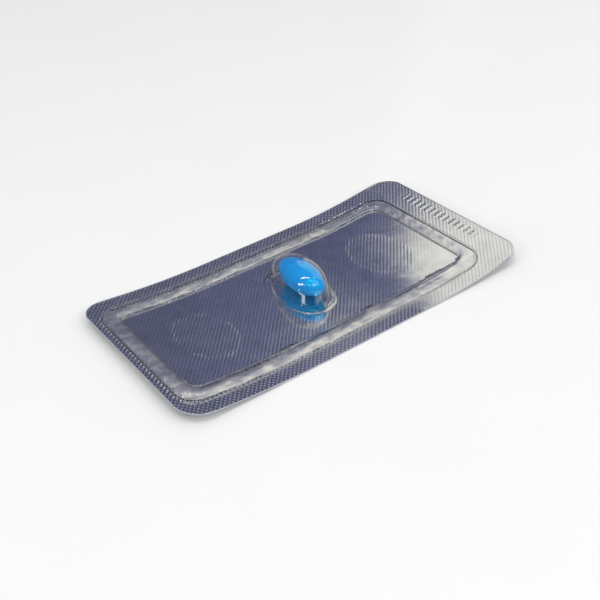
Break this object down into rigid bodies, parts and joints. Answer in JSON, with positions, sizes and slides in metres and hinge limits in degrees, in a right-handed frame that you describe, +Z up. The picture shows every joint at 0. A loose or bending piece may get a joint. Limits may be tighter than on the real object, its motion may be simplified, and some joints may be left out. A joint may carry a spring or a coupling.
{
  "type": "pill blister pack",
  "caption": "Curled card of clear formed film sealed to foil, with a raised rib round its field and a blue oval pill in a domed pocket.",
  "frame": {"origin": "under the middle of the card's outline, on the surface that the pack rests on", "axes": "+X along the card towards its wide end margin, +Y towards its back edge, +Z up on the pocket's side"},
  "size_m": [0.0826, 0.045, 0.008],
  "materials": {
    "clear_film": "clear, glossy",
    "lidding_foil": "bright, fine diamond knurl from heat sealing",
    "pill_coat": "glossy blue coat"
  },
  "bodies": {
    "root": {"blister_film": "clear_film", "lidding_foil": "lidding_foil", "pill": "pill_coat"}
  },
  "joints": []
}
